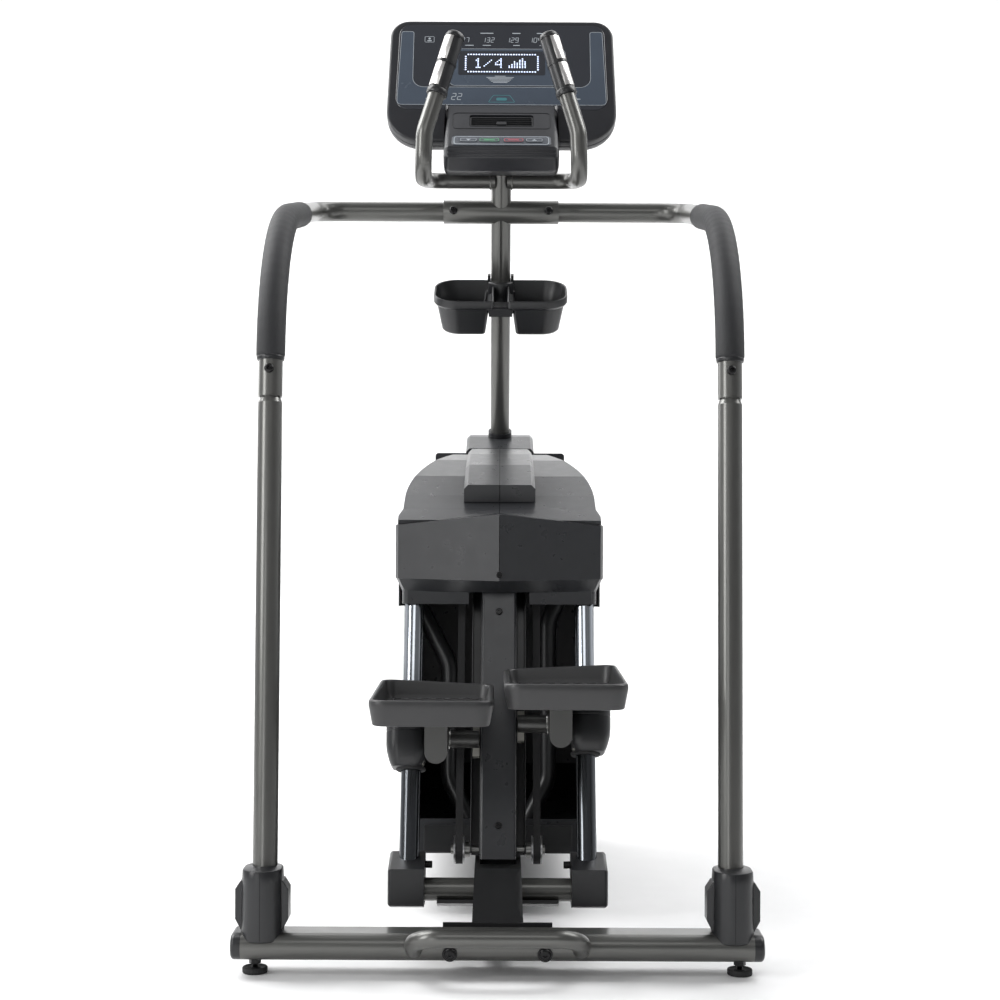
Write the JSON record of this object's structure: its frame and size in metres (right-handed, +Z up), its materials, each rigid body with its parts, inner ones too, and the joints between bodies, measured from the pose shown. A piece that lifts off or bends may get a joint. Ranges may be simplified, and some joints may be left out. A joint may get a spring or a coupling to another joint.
{
  "type": "pedal stepper",
  "caption": "Upright stair-climbing exercise machine with independent sliding pedals on inclined rails, side handrails, mast, console and shroud.",
  "frame": {"origin": "on the floor under the middle of the overall box", "axes": "+X to the user's right, +Y the way the user faces, +Z up"},
  "size_m": [0.838, 1.258, 1.7382],
  "materials": {
    "grey_paint": "metallic satin powder coat",
    "dark_paint": "satin powder coat",
    "chrome": "polished",
    "steel": "bright zinc",
    "black_plastic": "fine leather grain",
    "shroud_plastic": "spark-eroded texture",
    "console_plastic": "fine texture",
    "lens": "gloss",
    "pedal_plastic": "textured",
    "foam": "matt foam",
    "rubber": "matt",
    "nylon": "natural",
    "bolt_black": "black oxide",
    "alloy": "cast",
    "key_plastic": "satin"
  },
  "bodies": {
    "frame": {"rear_crossbar": "grey_paint", "uprights": "grey_paint", "handrails": "grey_paint", "mast": "grey_paint", "hr_bars": "grey_paint", "lower_shaft": "grey_paint", "base_frame": "dark_paint", "column": "dark_paint", "drive_frame": "dark_paint", "frame_stays": "dark_paint", "slide_rails": "chrome", "crossbar_caps": "rubber", "lift_belts": "rubber", "mast_gasket": "rubber", "upright_boots": "black_plastic", "rail_feet": "black_plastic", "column_cover": "black_plastic", "cup_tray": "black_plastic", "hr_grips": "black_plastic", "neck_cover": "black_plastic", "left_shroud": "shroud_plastic", "right_shroud": "shroud_plastic", "rear_belt_cover": "shroud_plastic", "lower_panel": "shroud_plastic", "console_housing": "console_plastic", "control_pod": "console_plastic", "console_lens": "lens", "keypad_panel": "lens", "handrail_grips": "foam", "bolts_and_screws": "bolt_black", "idler_axle": "steel", "alternator": "alloy"},
    "left_carriage": {"left_pedal": "pedal_plastic", "left_carriage_frame": "grey_paint", "left_carriage_bushes": "nylon", "left_carriage_cover": "black_plastic", "left_guide_shoe": "nylon"},
    "left_drive_pulley_body": {"left_drive_pulley": "steel"},
    "left_idler_body": {"left_idler": "steel"},
    "left_wheel_body": {"left_wheel": "rubber"},
    "left_rear_foot_body": {"left_rear_foot": "rubber"},
    "left_front_foot_body": {"left_front_foot": "rubber"},
    "right_carriage": {"right_pedal": "pedal_plastic", "right_carriage_frame": "grey_paint", "right_carriage_bushes": "nylon", "right_carriage_cover": "black_plastic", "right_guide_shoe": "nylon"},
    "right_drive_pulley_body": {"right_drive_pulley": "steel"},
    "right_idler_body": {"right_idler": "steel"},
    "right_wheel_body": {"right_wheel": "rubber"},
    "right_rear_foot_body": {"right_rear_foot": "rubber"},
    "right_front_foot_body": {"right_front_foot": "rubber"},
    "key_down_body": {"key_down": "key_plastic"},
    "key_start_body": {"key_start": "key_plastic"},
    "key_stop_body": {"key_stop": "key_plastic"},
    "key_up_body": {"key_up": "key_plastic"},
    "louvre_body": {"fan_louvre": "console_plastic"},
    "fan_body": {"fan_rotor": "console_plastic"},
    "shaft_body": {"drive_shaft": "steel"},
    "rotor_body": {"alternator_rotor": "alloy"}
  },
  "joints": [
    {"name": "left_pedal_slide", "type": "slide", "parent": "frame", "child": "left_carriage", "axis": [0, 0.342, 0.9397], "range_m": [-0.1063, 0.1596]},
    {"name": "left_drive_pulley_spin", "type": "hinge", "parent": "frame", "child": "left_drive_pulley_body", "pos_m": [0, -0.1322, 0.65014], "axis": [1, 0, 0], "range_deg": [-419, 280]},
    {"name": "left_idler_spin", "type": "hinge", "parent": "frame", "child": "left_idler_body", "pos_m": [0, -0.31279, 0.15398], "axis": [1, 0, 0], "range_deg": [-419, 280]},
    {"name": "left_wheel_spin", "type": "hinge", "parent": "frame", "child": "left_wheel_body", "pos_m": [-0.178, 0.595, 0.036], "axis": [1, 0, 0], "continuous": true},
    {"name": "left_rear_foot_turn", "type": "hinge", "parent": "frame", "child": "left_rear_foot_body", "pos_m": [-0.384, -0.525, 0.01], "axis": [0, 0, 1], "continuous": true},
    {"name": "left_front_foot_turn", "type": "hinge", "parent": "frame", "child": "left_front_foot_body", "pos_m": [-0.13, 0.545, 0.01], "axis": [0, 0, 1], "continuous": true},
    {"name": "right_pedal_slide", "type": "slide", "parent": "frame", "child": "right_carriage", "axis": [0, 0.342, 0.9397], "range_m": [-0.1335, 0.1324]},
    {"name": "right_drive_pulley_spin", "type": "hinge", "parent": "frame", "child": "right_drive_pulley_body", "pos_m": [0, -0.1322, 0.65014], "axis": [1, 0, 0], "range_deg": [-348, 351]},
    {"name": "right_idler_spin", "type": "hinge", "parent": "frame", "child": "right_idler_body", "pos_m": [0, -0.31279, 0.15398], "axis": [1, 0, 0], "range_deg": [-348, 351]},
    {"name": "right_wheel_spin", "type": "hinge", "parent": "frame", "child": "right_wheel_body", "pos_m": [0.178, 0.595, 0.036], "axis": [1, 0, 0], "continuous": true},
    {"name": "right_rear_foot_turn", "type": "hinge", "parent": "frame", "child": "right_rear_foot_body", "pos_m": [0.384, -0.525, 0.01], "axis": [0, 0, 1], "continuous": true},
    {"name": "right_front_foot_turn", "type": "hinge", "parent": "frame", "child": "right_front_foot_body", "pos_m": [0.13, 0.545, 0.01], "axis": [0, 0, 1], "continuous": true},
    {"name": "key_down_press", "type": "slide", "parent": "frame", "child": "key_down_body", "axis": [0, 0.6809, -0.7323], "range_m": [0, 0.0012], "stiffness_N_per_m": 900},
    {"name": "key_start_press", "type": "slide", "parent": "frame", "child": "key_start_body", "axis": [0, 0.6809, -0.7323], "range_m": [0, 0.0012], "stiffness_N_per_m": 900},
    {"name": "key_stop_press", "type": "slide", "parent": "frame", "child": "key_stop_body", "axis": [0, 0.6809, -0.7323], "range_m": [0, 0.0012], "stiffness_N_per_m": 900},
    {"name": "key_up_press", "type": "slide", "parent": "frame", "child": "key_up_body", "axis": [0, 0.6809, -0.7323], "range_m": [0, 0.0012], "stiffness_N_per_m": 900},
    {"name": "fan_louvre_tilt", "type": "hinge", "parent": "frame", "child": "louvre_body", "pos_m": [0, 0.22866, 1.50029], "axis": [1, 0, 0], "range_deg": [-15, 15]},
    {"name": "fan_spin", "type": "hinge", "parent": "frame", "child": "fan_body", "pos_m": [0, 0.22554, 1.47281], "axis": [1, 0, 0], "continuous": true},
    {"name": "drive_shaft_spin", "type": "hinge", "parent": "frame", "child": "shaft_body", "pos_m": [0, -0.1322, 0.65014], "axis": [1, 0, 0], "continuous": true},
    {"name": "alternator_spin", "type": "hinge", "parent": "frame", "child": "rotor_body", "pos_m": [0, 0.075, 0.69], "axis": [1, 0, 0], "continuous": true}
  ],
  "couplings": [
    {"joint": "left_drive_pulley_spin", "follows": "left_pedal_slide", "rad_per_m": -45.455},
    {"joint": "left_idler_spin", "follows": "left_pedal_slide", "rad_per_m": -45.455},
    {"joint": "right_drive_pulley_spin", "follows": "right_pedal_slide", "rad_per_m": -45.455},
    {"joint": "right_idler_spin", "follows": "right_pedal_slide", "rad_per_m": -45.455},
    {"joint": "alternator_spin", "follows": "drive_shaft_spin", "ratio": 2.5}
  ]
}
